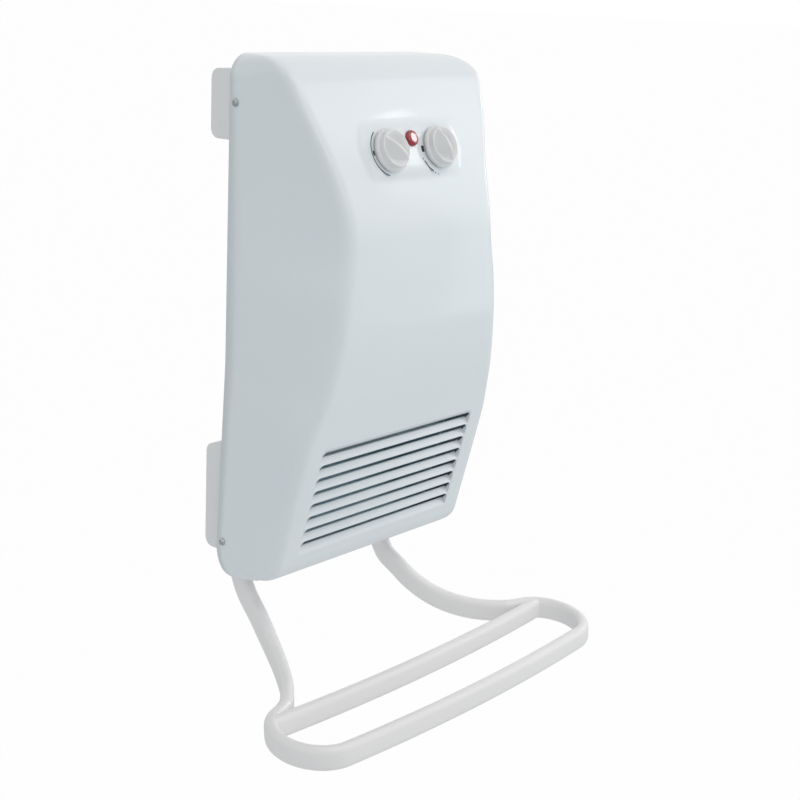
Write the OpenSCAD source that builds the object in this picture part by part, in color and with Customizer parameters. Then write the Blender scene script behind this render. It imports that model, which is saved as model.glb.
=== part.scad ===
// Bathroom wall fan heater with a welded towel rail.
// Frame: X to the right, +Y towards the wall, +Z up. The wall is the plane Y = 0.
// The origin is the centre of the four wall screws. All lengths are in mm.

/* [Housing] */
// Height of the housing's top above the origin
body_top = 226; // [210:1:245]
// Depth of the front's lower edge below the origin
body_low = 247.5; // [235:0.5:260]
// Fall of the underside from the front to the back
back_drop = 5; // [0:1:14]
// Radius of the side view's lower back corner
back_round = 27; // [20:1:34]
// Gap between the wall and the back of the housing
wall_gap = 25; // [25:0.5:30]
// Half width of the housing at its back edge, upper part
back_half = 130.6; // [120:0.1:140]
// Widening of the back edge towards the bottom, per mm of height
back_flare = 0.042; // [0:0.002:0.06]
// Sheet thickness of the pressed cover
skin = 2; // [1.6:0.1:2.4]
// Reach of the soft edge between front and sides
edge_soft = 12; // [8:0.5:16]
// Corner radius of the outline at the back, top
corner_back = 21; // [14:1:26]
// Corner radius of the outline at the front, top
corner_front = 15; // [10:1:26]
// Corner radius of the outline, bottom
corner_low = 8; // [6:1:24]
// Radius of the lip along the front's lower edge
lip_r = 18; // [8:1:20]

/* [Louvres] */
// Number of louvres in the outlet
louvre_count = 8; // [5:1:9]
// Height of the uppermost slot, from the origin (negative is below)
louvre_z = -117; // [-125:1:-110]
// Distance from slot to slot
louvre_pitch = 13.46; // [12:0.02:14]
// Half length of a slot
louvre_half = 107; // [90:1:112]
// Clear height of a slot
louvre_gap = 6; // [3:0.1:6.5]
// Depth by which a slat's upper edge is pressed inwards
louvre_press = 5.8; // [3:0.1:6]

/* [Controls] */
// Height of the knobs above the origin
panel_z = 147; // [135:1:160]
// Depth of the control panel's face in front of the wall
panel_y = 127; // [120:0.5:132]
// Lean of the control panel, degrees
panel_lean = 22; // [10:1:24]
// Distance of each knob from the middle
knob_x = 34; // [30:0.5:40]
// Diameter of a knob's skirt
knob_d = 40; // [34:0.5:44]
// Direction of the left knob's grip, degrees
grip_left = 135; // [0:1:180]
// Direction of the right knob's grip, degrees
grip_right = 110; // [0:1:180]
// Diameter of the pilot lamp's dome
lamp_d = 15; // [8:0.5:16]

/* [Fan] */
// Diameter of the cross-flow impeller
fan_d = 56; // [46:1:58]
// Number of impeller blades
fan_blades = 20; // [14:1:26]
// Diameter of the fan shaft
shaft_d = 5; // [4:0.5:6]
// Diameter of the heating rod
rod_d = 7; // [6:0.5:8]

/* [Wall fixing] */
// Height of the upper wall bracket
upper_h = 61; // [50:1:70]
// Height of the lower wall bracket
lower_h = 102; // [90:1:110]
// Half width of the wall brackets
bracket_half = 129; // [120:1:130]
// Distance between wall screws, sideways
screw_dx = 160; // [120:5:180]
// Distance between wall screws, up and down
screw_dz = 360; // [350:5:370]
// Radius of a wall screw's hole
screw_r = 3.2; // [2.5:0.1:4]

/* [Towel rail] */
// Wide side of the flat-oval tube
tube_w = 22.3; // [18:0.1:24]
// Narrow side of the flat-oval tube
tube_t = 12.5; // [9:0.1:14]
// Half distance between the arms where they are bolted
arm_x = 98.5; // [90:0.5:105]
// Half length of the loop between the centres of its round ends
loop_half = 171.6; // [150:0.1:190]
// Radius of the round ends, to the tube's centre line
loop_r = 39.5; // [34:0.1:46]
// Forward bow of the front bar
loop_bow = 6.5; // [2:0.1:12]
// Distance of the loop's middle line from the wall
loop_y = 190.6; // [170:0.1:210]
// Depth of the loop's middle line below the origin
loop_z = 344.6; // [330:0.1:360]
// Slope of the loop's plane, rise per mm towards the wall
loop_rise = 0.09; // [0:0.01:0.15]

/* [Show] */
// Sub-part to draw

/* [Hidden] */
back_y = -wall_gap;
lean_k = 0.26;
// Shape of the pressed front: height, distance of the face from the wall, half width
curve = [[-body_low, 94.05, 135], [-120, 127.2, 133], [-95, 133.7, 129], [-60, 142.8, 121],
         [-12, 148.6, 113], [25, 148.8, 108.7], [55, 147.6, 103.6], [90, 143.8, 102.3],
         [130, 131.1, 109], [180, 111.5, 125.8], [body_top, 90.5, 136]];
last = len(curve) - 1;
brow_h = 20;
brow_d = 34;
tri = [0.0, 0.2, 0.4, 0.6, 0.8, 1.0];
panel_tilt = 90 - panel_lean;
fan_y = -80;
fan_z = -55;
duct_l = -98;
duct_r = 78;
upper_z = screw_dz / 2 + 1.5;
lower_z = -screw_dz / 2 - 1;
arm_y = -13.25;
tube_n = 16;
seam = [163, -145, -loop_z + (loop_y - 145) * loop_rise];
bow_r = (loop_half * loop_half + loop_bow * loop_bow) / (2 * loop_bow) + loop_r;
bow_y = bow_r - loop_y - loop_r - loop_bow;
bow_a = atan(loop_half / (bow_y + loop_y));

// ---------- smooth curve through the stations ----------

function slope(k, c) =
    k == 0 ? (curve[1][c] - curve[0][c]) / (curve[1][0] - curve[0][0])
    : k == last ? (curve[last][c] - curve[last - 1][c]) / (curve[last][0] - curve[last - 1][0])
    : (curve[k + 1][c] - curve[k - 1][c]) / (curve[k + 1][0] - curve[k - 1][0]);

function seg(z, k = 0) = k >= last - 1 || z < curve[k + 1][0] ? k : seg(z, k + 1);

function bend(t, p0, p1, m0, m1) =
    (2 * t * t * t - 3 * t * t + 1) * p0 + (t * t * t - 2 * t * t + t) * m0
    + (3 * t * t - 2 * t * t * t) * p1 + (t * t * t - t * t) * m1;

function smooth(z, c) =
    let (k = seg(z), w = curve[k + 1][0] - curve[k][0])
    bend((z - curve[k][0]) / w, curve[k][c], curve[k + 1][c], slope(k, c) * w, slope(k + 1, c) * w);

function quarter(u) = 1 - sqrt(max(0, 1 - u * u));

// Face of the cover, with the rounded brow at the top and the lip at the bottom
function face(z) =
    smooth(z, 1)
    - brow_d * quarter(max(0, z - body_top + brow_h) / brow_h)
    - lip_r * quarter(max(0, -body_low + lip_r - z) / lip_r);

// Narrowing of the outline in its rounded corners
function pinch(z, top) =
    top * quarter(max(0, z - body_top + top) / top)
    + corner_low * quarter(max(0, -body_low + corner_low - z) / corner_low);

function back_w(z) = back_half + back_flare * max(0, -50 - z) - pinch(z, corner_back);
function front_w(z) = smooth(z, 2) - pinch(z, corner_front);

// Back edge of the cover: upright, rounded forwards at the bottom
function back_at(z) = wall_gap + back_round * quarter(max(0, -body_low + back_round - z) / back_round);
function inner_back(z) = z > -body_low + back_round - 0.1 ? back_y + 2 : -back_at(z) - skin;

// Fall of the underside towards the back
function dip(z, y) =
    back_drop * (face(z) + y) / (face(z) - back_at(z)) * min(1, max(0, 70 - z - body_low) / 70);

// One half of a level slice, from the back edge round the soft edge to the face
function half_slice(w, a, y0, y1) =
    let (c = [a, -y1], s = [w - a, y1 + y0], d = norm(s), p = c + s / d * edge_soft, q = c - [edge_soft, 0])
    concat([[w, y0]], [for (t = tri) (1 - t) * (1 - t) * p + 2 * t * (1 - t) * c + t * t * q]);

function slice(w, a, y0, y1) =
    let (h = half_slice(w, a, y0, y1), n = len(h))
    concat(h, [for (k = [n - 1:-1:0]) [-h[k][0], h[k][1]]]);

// Heights of the slices: close together in the rounded ends
levels = concat(
    [for (k = [0:9]) -body_low + back_round * (1 - cos(k * 10))],
    [for (k = [1:23]) -body_low + back_round + (body_top - corner_back + body_low - back_round) * k / 24],
    [for (k = [0:6]) body_top - corner_back + corner_back * sin(k * 15)]);

module loft(rings) {
    n = len(rings[0]);
    m = len(rings);
    sides = [for (i = [0:m - 2], j = [0:n - 1])
        [i * n + j, (i + 1) * n + j, (i + 1) * n + (j + 1) % n, i * n + (j + 1) % n]];
    split = [for (f = sides, k = [0, 1]) k == 0 ? [f[0], f[2], f[1]] : [f[0], f[3], f[2]]];
    ends = [[for (j = [n - 1:-1:0]) j], [for (j = [0:n - 1]) (m - 1) * n + j]];
    polyhedron(points = [for (r = rings, p = r) p], faces = concat(split, ends), convexity = 10);
}

module cover_outer() {
    loft([for (z = levels)
        [for (p = slice(back_w(z), front_w(z), -back_at(z), face(z))) [p[0], p[1], z - dip(z, p[1])]]]);
}

module cover_inner() {
    k = (body_top + body_low - 2 * skin) / (body_top + body_low);
    mid = (body_top - body_low) / 2;
    loft([for (z = levels)
        [for (p = slice(back_w(z) - skin, front_w(z) - skin, inner_back(z), face(z) - skin * 1.1))
            [p[0], p[1], mid + (z - mid) * k - dip(z, p[1])]]]);
}

// ---------- control panel boss ----------

module on_panel(x = 0, up = 0, out = 0) {
    translate([0, -panel_y, panel_z]) rotate([panel_tilt, 0, 0]) translate([x, up, out]) children();
}

function barrel(w, bulge, h, r) = concat(
    [for (a = [0:5]) [w - r + r * cos(a * 18) , h - r + r * sin(a * 18)]],
    [for (a = [5:-1:0]) [-w + r - r * cos(a * 18), h - r + r * sin(a * 18)]],
    [for (k = [1:7]) [-w - bulge * sin(k * 22.5), h - r - (2 * h - 2 * r) * k / 8]],
    [for (a = [0:5]) [-w + r - r * cos(a * 18), -h + r - r * sin(a * 18)]],
    [for (a = [5:-1:0]) [w - r + r * cos(a * 18), -h + r - r * sin(a * 18)]],
    [for (k = [1:7]) [w + bulge * sin(k * 22.5), -h + r + (2 * h - 2 * r) * k / 8]]);

module boss(grow, out) {
    hull() {
        on_panel(0, -3.5, out - 0.4) linear_extrude(0.4) polygon(barrel(52 + grow, 8.5, 20.5 + grow, 9));
        on_panel(0, 0, out - 3) linear_extrude(0.4) polygon(barrel(60.5 + grow, 9.5, 29 + grow, 14));
        on_panel(0, 0, -7.4 + min(out, 0)) linear_extrude(0.4)
            polygon(barrel(62 + grow, 10, 31 + grow, 15));
    }
}

// ---------- louvres ----------

function louvre_face(z) = -smooth(-120, 1) + lean_k * (-120 - z);

module louvre_window() {
    low = louvre_z - louvre_count * louvre_pitch + louvre_gap;
    translate([-louvre_half, 0, 0]) rotate([90, 0, 90]) linear_extrude(2 * louvre_half)
        polygon([[louvre_face(louvre_z) - 4, louvre_z], [louvre_face(louvre_z) + 12, louvre_z],
                 [louvre_face(low) + 12, low], [louvre_face(low) - 4, low]]);
}

module slat(z) {
    top = z - louvre_gap;
    low = z - louvre_pitch;
    translate([-louvre_half - 1, 0, 0]) rotate([90, 0, 90]) linear_extrude(2 * louvre_half + 2)
        polygon([[louvre_face(top) + louvre_press, top], [louvre_face(top) + louvre_press + 1.6, top - 0.6],
                 [louvre_face(low) + 1.9, low - 0.3], [louvre_face(low) + 0.02, low]]);
}

module slat_ends(z) {
    low = z - louvre_pitch;
    for (s = [-1, 1])
        translate([s * (louvre_half + 0.2) - 0.8, 0, 0]) rotate([90, 0, 90]) linear_extrude(1.6)
            polygon([[louvre_face(z) + 0.3, z], [louvre_face(z) + louvre_press + 1.6, z - louvre_gap],
                     [louvre_face(low) + 1.9, low], [louvre_face(low) + 0.3, low]]);
}

module front_cover() {
    color("#e4e9ec") {
        difference() {
            union() {
                difference() {
                    union() {
                        cover_outer();
                        boss(0, 0);
                    }
                    difference() {
                        cover_inner();
                        boss(skin, 2);
                    }
                    boss(-skin, -skin);
                }
            }
            louvre_window();
            for (s = [-1, 1])
                on_panel(s * knob_x, 0, -14) cylinder(h = 30, r = 5.6, $fn = 32);
            on_panel(0, 10, -14) cylinder(h = 30, r = 6.1, $fn = 32);
            side_screw_holes(2.3);
        }
        for (k = [0:louvre_count - 1]) {
            slat(louvre_z - k * louvre_pitch);
            slat_ends(louvre_z - k * louvre_pitch);
        }
    }
}

function side_z(k) = k == 0 ? 184 : -219;

module side_screw_holes(r) {
    for (s = [-1, 1], k = [0, 1])
        translate([s * 140, -32, side_z(k)]) rotate([0, 90, 0])
            cylinder(h = 40, r = r, center = true, $fn = 20);
}

// ---------- sheet chassis and wall brackets ----------

function plate_half(z) = back_w(z) - skin - 1.1;
plate_levels = [for (z = levels) if (z > -body_low + back_round - 1) z];

module rear_chassis() {
    color("#c9cdd0") {
        difference() {
            translate([0, back_y - 0.05, 0]) rotate([90, 0, 0]) linear_extrude(1.5)
                polygon(concat([for (z = plate_levels) [plate_half(z) - 2, z * 0.985]],
                    [for (k = [len(plate_levels) - 1:-1:0])
                        [2 - plate_half(plate_levels[k]), plate_levels[k] * 0.985]]));
            for (k = [0:9], s = [-1, 1])
                translate([s * 45 - 35, back_y - 5, 40 + k * 9]) cube([70, 10, 3.8]);
            translate([92, back_y - 5, -70]) rotate([-90, 0, 0]) cylinder(h = 10, r = 9, $fn = 32);
            for (p = hang_points)
                translate([p[0], back_y - 5, p[1]]) rotate([-90, 0, 0]) cylinder(h = 10, r = 2.7, $fn = 20);
            translate([92, back_y - 5, -96]) rotate([-90, 0, 0]) cylinder(h = 10, r = 2.1, $fn = 20);
        }
        for (s = [-1, 1], k = [0, 1])
            difference() {
                translate([s * (plate_half(side_z(k)) - 3.6) - 0.75, 0, side_z(k)])
                    rotate([90, 0, 90]) linear_extrude(1.5)
                        polygon([[-25.1, 6], [-25.1, 19], [-42, 15], [-42, -10], [-29.6, -10], [-29.2, 1]]);
                translate([s * 120, -32, side_z(k)]) rotate([0, 90, 0])
                    cylinder(h = 40, r = 2, center = true, $fn = 20);
            }
    }
}

hang_points = [[-60, upper_z], [60, upper_z], [-60, lower_z], [60, lower_z]];

module bracket(zc, h) {
    difference() {
        translate([-bracket_half, 0, 0]) rotate([90, 0, 90]) linear_extrude(2 * bracket_half)
            rounded_back(zc, h, 0);
        translate([-bracket_half + 2, 0, 0]) rotate([90, 0, 90]) linear_extrude(2 * bracket_half - 4)
            rounded_back(zc, h, 2);
        for (s = [-1, 1])
            translate([s * screw_dx / 2, 5, zc > 0 ? screw_dz / 2 : -screw_dz / 2]) rotate([90, 0, 0])
                cylinder(h = 20, r = screw_r, $fn = 32);
    }
    for (s = [-1, 1])
        translate([s * 60, -1, zc]) rotate([90, 0, 0]) difference() {
            cylinder(h = wall_gap - 1, r = 7, $fn = 32);
            translate([0, 0, 6]) cylinder(h = wall_gap, r = 2.1, $fn = 20);
        }
}

// Side view of a bracket: rounded where it meets the wall, open towards the housing
module rounded_back(zc, h, t) {
    r = 9 - t;
    polygon(concat([[back_y - t, zc - h / 2 + t]],
        [for (a = [0:6]) [-t - r + r * sin(a * 15), zc - h / 2 + t + r - r * cos(a * 15)]],
        [for (a = [6:-1:0]) [-t - r + r * sin(a * 15), zc + h / 2 - t - r + r * cos(a * 15)]],
        [[back_y - t, zc + h / 2 - t]]));
}

module wall_bracket_upper() {
    color("#d6d4d6") bracket(upper_z, upper_h);
}

module wall_bracket_lower() {
    color("#d6d4d6") {
        difference() {
            bracket(lower_z, lower_h);
            for (s = [-1, 1])
                translate([s * arm_x - tube_t / 2 - 1, back_y - 1, lower_z - lower_h / 2 - 1])
                    cube([tube_t + 2, wall_gap, 12]);
            for (s = [-1, 1]) arm_bolts(s, 2.6);
        }
        // Ears on both sides of each arm
        for (s = [-1, 1], e = [-1, 1])
            difference() {
                translate([s * arm_x + e * (tube_t / 2 + 1.05) - 1, -23, lower_z - lower_h / 2 + 1.5])
                    cube([2, 22, 34]);
                arm_bolts(s, 2.6);
            }
    }
}

bolt_z = [lower_z - lower_h / 2 + 12, lower_z - lower_h / 2 + 27];

module arm_bolts(s, r) {
    for (z = bolt_z)
        translate([s * arm_x, arm_y, z]) rotate([0, 90, 0]) cylinder(h = 22, r = r, center = true, $fn = 20);
}

module rail_bolts() {
    color("#b9bcc0")
        for (s = [-1, 1], z = bolt_z)
            translate([s * arm_x, arm_y, z]) rotate([0, s * 90, 0]) {
                translate([0, 0, -9.5]) cylinder(h = 19, r = 2.5, $fn = 20);
                translate([0, 0, 8.35]) cylinder(h = 3, r = 4.3, $fn = 24);
                translate([0, 0, -12.35]) cylinder(h = 4, r = 4.4, $fn = 6);
            }
}

module cross_screw(len, r, head_r, head_h) {
    difference() {
        union() {
            cylinder(h = head_h, r1 = head_r, r2 = head_r * 0.72, $fn = 28);
            translate([0, 0, -len]) cylinder(h = len + 0.2, r = r, $fn = 20);
        }
        for (a = [0, 90])
            rotate([0, 0, a]) translate([-head_r * 0.5, -0.35, head_h - 0.9]) cube([head_r, 0.7, 2]);
    }
}

// The four screws at the sides that hold the cover to the chassis
module cover_screws() {
    color("#a9adb1")
        for (s = [-1, 1], k = [0, 1])
            translate([s * seat_x(k), -32, side_z(k)]) rotate([0, s * 90, 0])
                cross_screw(9, 1.95, 3.6, 1.9);
}

// Half width of the side wall at a depth and a height
function wall_x(y, z) = let (r = z + dip(z + dip(z, y), y), w = back_w(r))
    w - (w - front_w(r)) * (-y - back_at(r)) / (face(r) - back_at(r));

// Seat of a side screw's head: just outside the wall all round the head
function seat_x(k) =
    max([for (a = [0:45:315]) wall_x(-32 + 3.6 * cos(a), side_z(k) + 3.6 * sin(a))]) + 0.08;

module chassis_screws() {
    color("#a9adb1")
        for (p = hang_points)
            translate([p[0], back_y - 1.6, p[1]]) rotate([90, 0, 0]) cross_screw(14, 2.05, 4.4, 2.4);
}

// ---------- controls ----------

module knob(grip) {
    r = knob_d / 2;
    difference() {
        union() {
            rotate_extrude($fn = 56)
                polygon([[0, 0.8], [r - 1.2, 0.8], [r - 1.2, 2], [r, 2.3], [r, 4.1], [r - 0.5, 4.8],
                         [r - 2.4, 5.4], [r - 2.9, 7], [r - 3.3, 9.7], [r - 3.7, 10.1], [r - 6, 9.2],
                         [r - 12, 7.8], [0, 7.8]]);
            rotate([0, 0, grip]) fin(r - 3.6);
        }
        translate([0, 0, -1]) cylinder(h = 14, r = 3.04, $fn = 32);
    }
}

// Finger grip: lens-shaped in plan, with an arched crest and hollowed flanks
module fin(reach) {
    intersection() {
        translate([-reach, 0, 0]) rotate([90, 0, 90]) linear_extrude(2 * reach)
            polygon([[-7.8, 6], [-7.5, 8.2], [-5.4, 9.9], [-3.4, 11.8], [-1.7, 13.9], [-0.9, 14.9],
                     [0.9, 14.9], [1.7, 13.9], [3.4, 11.8], [5.4, 9.9], [7.5, 8.2], [7.8, 6]]);
        translate([0, 12, -16.4]) rotate([90, 0, 0]) cylinder(h = 24, r = 31.2, $fn = 80);
        translate([0, -13.7, 5]) cylinder(h = 14, r = 21.3, $fn = 80);
        translate([0, 13.7, 5]) cylinder(h = 14, r = 21.3, $fn = 80);
    }
}

module thermostat_knob() {
    color("#f2f3f3") on_panel(-knob_x) knob(grip_left);
}

module selector_knob() {
    color("#f2f3f3") on_panel(knob_x) knob(grip_right);
}

module spindle() {
    difference() {
        translate([0, 0, -27]) cylinder(h = 39.5, r = 3, $fn = 32);
        translate([-4, 2.2, 2]) cube([8, 4, 12]);
    }
}

module thermostat_shaft() {
    color("#8d9196") on_panel(-knob_x) spindle();
}

module selector_shaft() {
    color("#8d9196") on_panel(knob_x) spindle();
}

module switch_case(w, d) {
    difference() {
        union() {
            translate([-w / 2, -w / 2, -9.5 - d]) cube([w, w, d - 0.05]);
            translate([0, 0, -9.6]) cylinder(h = 5.4, r = 4.8, $fn = 32);
        }
        translate([0, 0, -28]) cylinder(h = 40, r = 3.06, $fn = 32);
    }
    for (x = [-9, 0, 9]) translate([x - 3, -w / 2 - 7.9, -12 - d / 2]) cube([6, 8, 0.8]);
}

module thermostat_body() {
    color("#3c4046") on_panel(-knob_x) switch_case(34, 22);
}

module selector_body() {
    color("#3c4046") on_panel(knob_x) switch_case(30, 24);
}

module control_bracket() {
    color("#c9cdd0") {
        difference() {
            union() {
                on_panel(-58, -21, -9.45) cube([116, 42, 1.4]);
                for (s = [-1, 1]) translate([s * 57 - 0.75, -124, panel_z - 12]) cube([1.5, 97.4, 20]);
                for (s = [-1, 1]) translate([s * 63.25 - 7, -28, panel_z - 12]) cube([14, 1.4, 20]);
            }
            for (s = [-1, 1]) on_panel(s * knob_x, 0, -12) cylinder(h = 6, r = 4.9, $fn = 32);
            on_panel(0, 10, -12) cylinder(h = 6, r = 5.9, $fn = 32);
            on_panel(-70, -40, -8.05) cube([140, 80, 40]);
        }
    }
}

module control_nuts() {
    color("#b9bcc0")
        for (s = [-1, 1]) on_panel(s * knob_x, 0, -8) difference() {
            cylinder(h = 3, r = 8.1, $fn = 6);
            translate([0, 0, -1]) cylinder(h = 6, r = 4.85, $fn = 32);
        }
}

// Printed marks round the knobs: an arc and plain signs
module dial_marks() {
    color("#2c4a63") {
        for (k = [0:17]) on_panel(-knob_x, 0, 0.02) rotate([0, 0, 158 + k * 6.6])
            translate([knob_d / 2 + 1.4 - k * 0.02, -1.25, 0]) cube([0.9, 2.5, 0.12]);
        on_panel(-knob_x, 0, 0.02) rotate([0, 0, 196])
            translate([knob_d / 2 - 1.2, -1.5, 0]) cube([2.1, 3, 0.12]);
        for (k = [0:5]) on_panel(knob_x, 0, 0.02) rotate([0, 0, 212 + k * 6])
            translate([knob_d / 2 + 1.2, -1.3, 0]) cube([1.7, 2.6, 0.12]);
        on_panel(knob_x, 0, 0.02) rotate([0, 0, 186])
            translate([knob_d / 2 + 1, -1.9, 0]) cube([3, 3.8, 0.12]);
        for (a = [200, 252, 262]) on_panel(knob_x, 0, 0.02) rotate([0, 0, a])
            translate([knob_d / 2 + 1.6, 0, 0]) cylinder(h = 0.12, r = 0.8, $fn = 12);
    }
}

module lamp_lens() {
    color([0.75, 0.02, 0.04, 0.9]) on_panel(0, 10, 0) difference() {
        union() {
            translate([0, 0, 0.05]) rotate_extrude($fn = 40)
                polygon(concat([[0, 0], [lamp_d / 2, 0]],
                    [for (a = [0:15:75]) [lamp_d / 2 * cos(a), 0.7 + 3.6 * sin(a)]], [[0, 4.3]]));
            translate([0, 0, -9]) cylinder(h = 9.2, r = 5.8, $fn = 32);
        }
        translate([0, 0, -10]) cylinder(h = 10.5, r = 4.6, $fn = 24);
    }
}

module lamp_body() {
    color("#d9d9d4") on_panel(0, 10, 0) {
        translate([0, 0, -24]) cylinder(h = 14.9, r = 5.4, $fn = 32);
        translate([0, 0, -9.2]) cylinder(h = 7, r = 3.2, $fn = 20);
        for (s = [-1, 1]) translate([s * 2.6 - 0.4, -1.5, -31]) cube([0.8, 3, 7.2]);
    }
}

// ---------- fan ----------

module on_fan(x) {
    translate([x, fan_y, fan_z]) rotate([0, 90, 0]) children();
}

module fan_impeller() {
    color("#5a5f66") difference() {
        union() {
            for (x = [-92, -12, 68]) on_fan(x) cylinder(h = 1.6, r = fan_d / 2, $fn = 48);
            for (k = [0:fan_blades - 1])
                on_fan(-91) rotate([0, 0, k * 360 / fan_blades]) translate([fan_d / 2 - 4.7, 0, 0])
                    rotate([0, 0, 38]) translate([-4.2, -0.4, 0]) cube([8.4, 0.8, 160]);
            for (x = [-92, 62]) on_fan(x) cylinder(h = 7.6, r = 6, $fn = 32);
        }
        on_fan(-100) cylinder(h = 200, r = shaft_d / 2, $fn = 24);
    }
}

module fan_shaft() {
    color("#8d9196") on_fan(-106) cylinder(h = 219, r = shaft_d / 2, $fn = 24);
}

module fan_bearing() {
    color("#b08a4a") difference() {
        union() {
            on_fan(duct_l - 2.05) cylinder(h = 2, r = 11, $fn = 36);
            on_fan(duct_l - 0.1) cylinder(h = 1.6, r = 7.9, $fn = 36);
        }
        on_fan(duct_l - 10) cylinder(h = 20, r = shaft_d / 2 + 0.05, $fn = 24);
    }
}

function scroll(a, gap) = [fan_y + (fan_d / 2 + gap) * cos(a), fan_z + (fan_d / 2 + gap) * sin(a)];

back_wall = concat([for (k = [0:12]) scroll(95 - k * 12, 4 + k * 1.1)],
                   [[-40, -118], [-52, -160], [-88, -233]]);
front_wall = [[-112.5, -66], [-112, -82], [-122, -106]];

function shifted(line, t) = [for (k = [0:len(line) - 1])
    let (p = line[max(0, k - 1)], q = line[min(len(line) - 1, k + 1)], d = (q - p) / norm(q - p))
    line[k] + t * [d[1], -d[0]]];

module sheet(line, t) {
    back = shifted(line, t);
    n = len(line) - 1;
    translate([duct_l + 1.2, 0, 0]) rotate([90, 0, 90]) linear_extrude(duct_r - duct_l - 2.4)
        polygon(concat(line, [for (k = [n:-1:0]) back[k]]));
}

module duct_end(x) {
    translate([x, 0, 0]) rotate([90, 0, 90]) linear_extrude(1.4)
        polygon([[-50, -14], [-100, -14], [-118, -60], [-123, -104], [-89, -234], [-82, -234],
                 [-40, -130], [-34, -94], [-26.6, -92], [-26.6, -62], [-34, -60], [-36, -30]]);
    translate([x < 0 ? x : x - 10, -28, -90]) cube([11.4, 1.4, 26]);
}

module blower_housing() {
    color("#bfc4c8") {
        difference() {
            for (x = [duct_l, duct_r - 1.4]) duct_end(x);
            on_fan(duct_l - 2) cylinder(h = 6, r = 8, $fn = 36);
            on_fan(duct_r - 4) cylinder(h = 8, r = 12, $fn = 36);
            for (y = [rod_rows[0], rod_rows[3]]) translate([duct_l - 2, y, -119]) rotate([0, 90, 0])
                cylinder(h = 6, r = rod_d / 2 - 0.9, $fn = 16);
        }
        sheet(back_wall, -1.2);
        sheet(front_wall, 1.2);
    }
}

motor_x = 88;

module motor_stator() {
    color("#7b7f84") difference() {
        translate([motor_x, fan_y - 24, fan_z - 24]) cube([16, 48, 62]);
        on_fan(motor_x - 1) cylinder(h = 18, r = 12.4, $fn = 36);
        translate([motor_x - 1, fan_y - 14, fan_z + 16]) cube([18, 28, 12]);
    }
}

module motor_rotor() {
    color("#9a9ea3") difference() {
        on_fan(motor_x + 0.5) cylinder(h = 15, r = 12, $fn = 36);
        on_fan(motor_x - 1) cylinder(h = 20, r = shaft_d / 2, $fn = 24);
    }
}

module motor_coil() {
    color("#a4552a") difference() {
        translate([motor_x - 5.5, fan_y - 13.5, fan_z + 16.1]) cube([27, 27, 31]);
        translate([motor_x - 0.1, fan_y - 20, fan_z + 27.9]) cube([16.2, 40, 10.2]);
    }
}

module motor_bracket() {
    color("#c9cdd0") difference() {
        union() {
            for (x = [motor_x - 4.5, motor_x + 19])
                translate([x, fan_y - 25.45, fan_z - 15]) cube([1.5, 50.9, 30]);
            for (x = [motor_x - 6.5, motor_x + 19]) on_fan(x) cylinder(h = 3.5, r = 5.5, $fn = 32);
            for (y = [-25.45, 24.05]) translate([duct_r + 0.1, fan_y + y, fan_z - 3]) cube([30.4, 1.4, 6]);
            for (y = [-33.05, 24.05]) translate([duct_r + 0.1, fan_y + y, fan_z - 5]) cube([1.4, 9, 10]);
        }
        on_fan(motor_x - 20) cylinder(h = 60, r = shaft_d / 2 + 0.05, $fn = 24);
    }
}

// ---------- heater ----------

module heater_frame() {
    color("#d8d2c0") difference() {
        union() {
            for (x = [duct_l + 1.45, -62, 40, duct_r - 3.45]) translate([x, -112, -128]) cube([2, 64, 18]);
            for (y = [-112, -50]) translate([duct_l + 1.45, y, -128]) cube([duct_r - duct_l - 2.9, 2, 12]);
        }
        for (y = rod_rows) translate([duct_l - 4, y, -119]) rotate([0, 90, 0])
            cylinder(h = 150, r = rod_d / 2 + 0.1, $fn = 16);
    }
}

rod_rows = [-102, -88, -74, -60];

module heating_rod() {
    color("#6a4a3c") {
        for (y = rod_rows) translate([duct_l + 16, y, -119]) rotate([0, 90, 0])
            cylinder(h = duct_r - duct_l - 32, r = rod_d / 2, $fn = 16);
        for (k = [0, 2]) rod_turn(duct_r - 16, (rod_rows[k] + rod_rows[k + 1]) / 2, 1);
        rod_turn(duct_l + 16, (rod_rows[1] + rod_rows[2]) / 2, -1);
        for (y = [rod_rows[0], rod_rows[3]]) translate([duct_l - 8, y, -119]) rotate([0, 90, 0])
            cylinder(h = 25, r = rod_d / 2 - 1, $fn = 16);
    }
}

module rod_turn(x, y, s) {
    translate([x, y, -119]) rotate([0, 0, s > 0 ? -90 : 90]) rotate_extrude(angle = 180, $fn = 32)
        translate([7, 0]) circle(r = rod_d / 2, $fn = 16);
}

module thermal_cutout() {
    color("#e8e4da") translate([-30, -50.05, -108]) {
        translate([-12, -1.4, -18]) cube([24, 1.4, 25]);
        translate([0, -1.3, 0]) rotate([90, 0, 0]) cylinder(h = 7, r = 6.9, $fn = 32);
    }
}

module terminal_block() {
    color("#e9e9e4") difference() {
        translate([80, -45, -50]) cube([42, 18.4, 16]);
        for (k = [0:2]) {
            translate([87 + k * 14, -46, -42]) rotate([-90, 0, 0]) cylinder(h = 9, r = 3, $fn = 20);
            translate([87 + k * 14, -33, -51]) cylinder(h = 18, r = 2.2, $fn = 20);
        }
    }
}

module cable_grommet() {
    color("#3a3d42") translate([92, back_y, -70]) rotate([90, 0, 0]) difference() {
        union() {
            translate([0, 0, -2.2]) cylinder(h = 2.2, r = 11, $fn = 36);
            translate([0, 0, -0.1]) cylinder(h = 1.8, r = 8.9, $fn = 36);
            translate([0, 0, 1.6]) cylinder(h = 2.55, r = 10.6, $fn = 36);
        }
        translate([0, 0, -5]) cylinder(h = 12, r = 4.2, $fn = 32);
    }
}

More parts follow.
